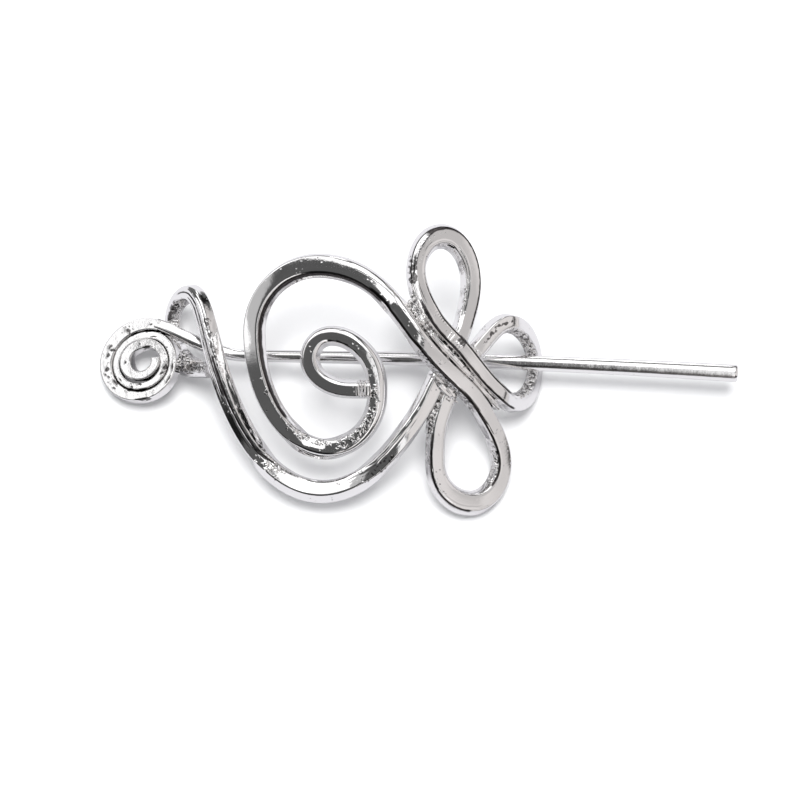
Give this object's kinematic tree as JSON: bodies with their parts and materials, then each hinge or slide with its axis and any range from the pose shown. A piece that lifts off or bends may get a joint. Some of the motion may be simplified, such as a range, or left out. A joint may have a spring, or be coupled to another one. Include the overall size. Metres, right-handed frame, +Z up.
{
  "type": "hair stick with slide",
  "caption": "Openwork domed hair slide bent from a looping strand, with a tapered stick that passes under it and ends in a flat spiral head.",
  "frame": {"origin": "middle of the two pieces in plan, on the table they rest on", "axes": "+X along the stick from its spiral head to its blunt tip, +Y towards the slide's raised edge, +Z up from the table"},
  "size_m": [0.1201, 0.0512, 0.0216],
  "materials": {
    "slide_metal": "bright plate on a rough casting",
    "stick_metal": "bright plate, hammered on the head"
  },
  "bodies": {
    "slide": {"slide": "slide_metal"},
    "stick": {"stick": "stick_metal"}
  },
  "joints": [
    {"name": "stick_slide", "type": "slide", "parent": "slide", "child": "stick", "axis": [-0.9989, 0.0471, 0], "range_m": [0, 0.115]}
  ]
}
